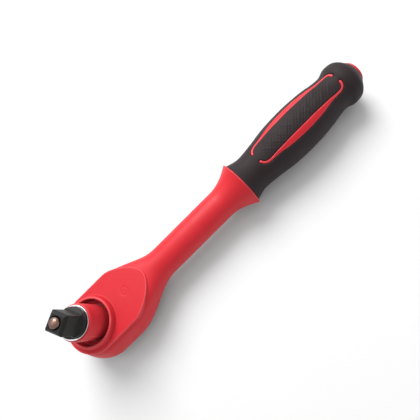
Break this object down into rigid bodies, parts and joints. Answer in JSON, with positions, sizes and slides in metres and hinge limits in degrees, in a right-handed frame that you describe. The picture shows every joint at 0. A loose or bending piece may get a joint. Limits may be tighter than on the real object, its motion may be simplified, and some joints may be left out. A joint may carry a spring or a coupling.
{
  "type": "ratchet wrench",
  "caption": "Insulated reversible ratchet wrench: flat head with a square drive in a raised collar, round shank with a guard flange, and a two-part soft grip.",
  "frame": {"origin": "centre of the bounding box at its lowest point, on the surface that the tool lies on, back down", "axes": "+X along the handle from the head to the butt, +Z along the square drive towards its end, +Y across the head"},
  "size_m": [0.2728, 0.0492, 0.0709],
  "materials": {
    "red_plastic": "satin moulded insulation",
    "forged_steel": "forged and bead blasted",
    "black_steel": "black phosphate, oiled",
    "bright_steel": "polished",
    "copper_steel": "polished, warm tinted plating",
    "bronze": "sintered bronze",
    "seal_rubber": "nitrile rubber",
    "lever_plastic": "fine textured",
    "grip_rubber": "soft grip overmould, matte"
  },
  "bodies": {
    "handle": {"insulation_shell": "red_plastic", "ratchet_body": "forged_steel", "spindle_bush": "bronze", "drive_seal": "red_plastic", "thrust_washer": "bronze", "cover_plate": "forged_steel", "cover_screw_1": "bright_steel", "cover_screw_2": "bright_steel", "cover_screw_3": "bright_steel", "cover_screw_4": "bright_steel", "back_cap": "red_plastic", "selector_seal": "seal_rubber", "pawl_pivot_pin": "bright_steel", "grip_core": "red_plastic", "grip_sleeve": "grip_rubber", "butt_cap": "red_plastic"},
    "drive": {"drive_spindle": "black_steel", "drive_collar": "red_plastic", "collar_ring": "bright_steel", "release_spring": "bright_steel"},
    "release_button": {"release_pin": "copper_steel"},
    "socket_lock": {"locking_ball": "bright_steel"},
    "selector": {"selector_shaft": "forged_steel", "selector_lever": "lever_plastic", "pawl_plunger": "bright_steel", "pawl_spring": "bright_steel"},
    "rocker": {"pawl": "forged_steel"}
  },
  "joints": [
    {"name": "drive_rotation", "type": "hinge", "parent": "handle", "child": "drive", "pos_m": [-0.1134, 0, 0.0182], "axis": [0, 0, 1], "continuous": true},
    {"name": "release_push", "type": "slide", "parent": "drive", "child": "release_button", "axis": [0, 0, -1], "range_m": [0, 0.002], "stiffness_N_per_m": 900, "springref_m": -0.002, "deforming": ["release_spring"]},
    {"name": "ball_retract", "type": "slide", "parent": "drive", "child": "socket_lock", "axis": [0.5, -0.866, 0], "range_m": [0, 0.001]},
    {"name": "selector_turn", "type": "hinge", "parent": "handle", "child": "selector", "pos_m": [-0.0839, 0, 0.0182], "axis": [0, 0, -1], "range_deg": [0, 44]},
    {"name": "pawl_rock", "type": "hinge", "parent": "handle", "child": "rocker", "pos_m": [-0.0938, 0, 0.0182], "axis": [0, 0, 1], "range_deg": [0, 7.01]}
  ],
  "couplings": [
    {"joint": "ball_retract", "follows": "release_push", "ratio": 0.5},
    {"joint": "pawl_rock", "follows": "selector_turn", "ratio": 0.15909}
  ]
}
